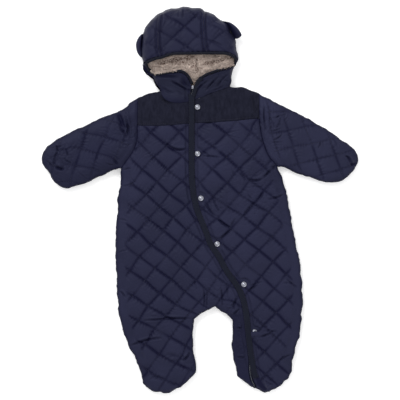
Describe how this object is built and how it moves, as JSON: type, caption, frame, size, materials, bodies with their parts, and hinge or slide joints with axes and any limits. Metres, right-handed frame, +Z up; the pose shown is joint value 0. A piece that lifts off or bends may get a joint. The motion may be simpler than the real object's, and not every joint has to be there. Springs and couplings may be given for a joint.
{
  "type": "baby snowsuit",
  "caption": "Quilted one-piece baby snowsuit with hood, bear ears, fleece lining and a slanting front opening, laid flat on its back.",
  "frame": {"origin": "centre of the overall bounds in plan, on the surface that the suit lies on", "axes": "+X towards the wearer's left side, +Y along the body towards the hood, +Z up through the front"},
  "size_m": [0.5694, 0.6954, 0.04],
  "materials": {
    "navy_shell": "satin woven nylon, quilted over padding",
    "matte_yoke": "matte napped cloth",
    "placket_tape": "matte woven tape",
    "sherpa": "curly pile fleece",
    "snap_metal": "dull nickel",
    "zip": "woven tape with moulded teeth"
  },
  "bodies": {
    "root": {"back": "navy_shell", "front_right": "navy_shell", "front_left": "navy_shell", "yoke_right": "matte_yoke", "yoke_left": "matte_yoke", "sleeve_right": "navy_shell", "sleeve_left": "navy_shell", "hood_back": "navy_shell", "hood_centre": "navy_shell", "hood_side_right": "navy_shell", "hood_side_left": "navy_shell", "hood_lining": "sherpa", "collar_right": "navy_shell", "collar_left": "navy_shell", "hood_binding": "placket_tape", "ear_right": "navy_shell", "ear_left": "navy_shell", "placket_tape": "placket_tape", "zip": "zip", "zip_slider": "snap_metal", "snap_1": "snap_metal", "snap_2": "snap_metal", "snap_3": "snap_metal", "snap_4": "snap_metal", "snap_5": "snap_metal", "snap_6": "snap_metal"}
  },
  "joints": []
}
